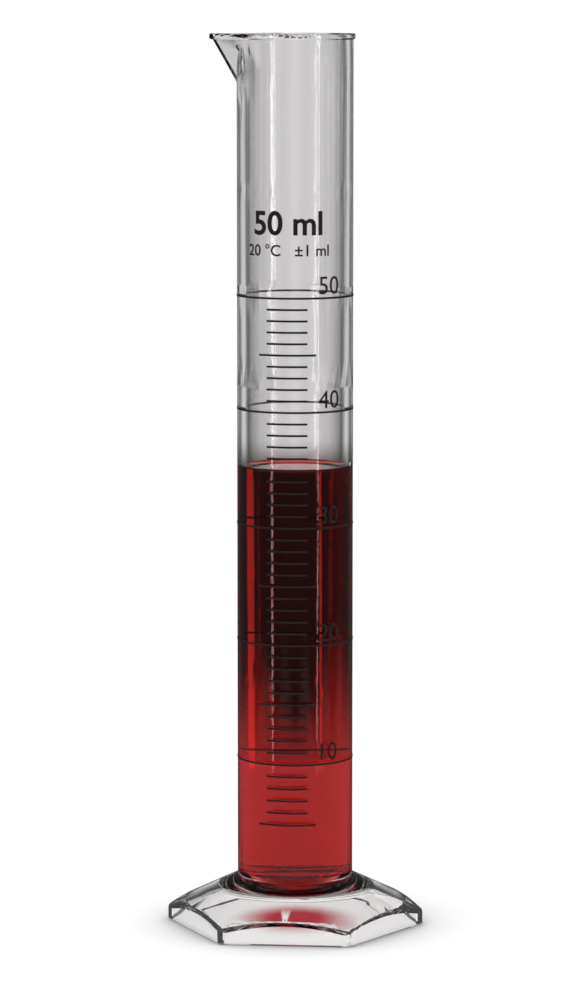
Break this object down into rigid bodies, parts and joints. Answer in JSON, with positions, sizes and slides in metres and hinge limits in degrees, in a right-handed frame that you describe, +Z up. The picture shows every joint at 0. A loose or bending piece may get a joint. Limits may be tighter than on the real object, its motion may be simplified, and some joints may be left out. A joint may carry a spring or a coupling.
{
  "type": "graduated cylinder",
  "caption": "Tall clear plastic measuring cylinder with a beaded rim, pouring spout, printed millilitre scale, hollow hexagonal foot and red liquid filling.",
  "frame": {"origin": "on the tube's axis, in the plane of the foot's rim, which the part stands on", "axes": "+Z up along the tube; the spout points along -X; the printed scale faces -Y; two corners of the hexagonal foot lie on X"},
  "size_m": [0.0578, 0.0506, 0.2],
  "materials": {
    "clear_plastic": "polished, transparent",
    "red_liquid": "clear dyed water",
    "scale_ink": "screen-printed ink"
  },
  "bodies": {
    "root": {"cylinder": "clear_plastic", "liquid": "red_liquid", "scale_marks": "scale_ink"}
  },
  "joints": []
}
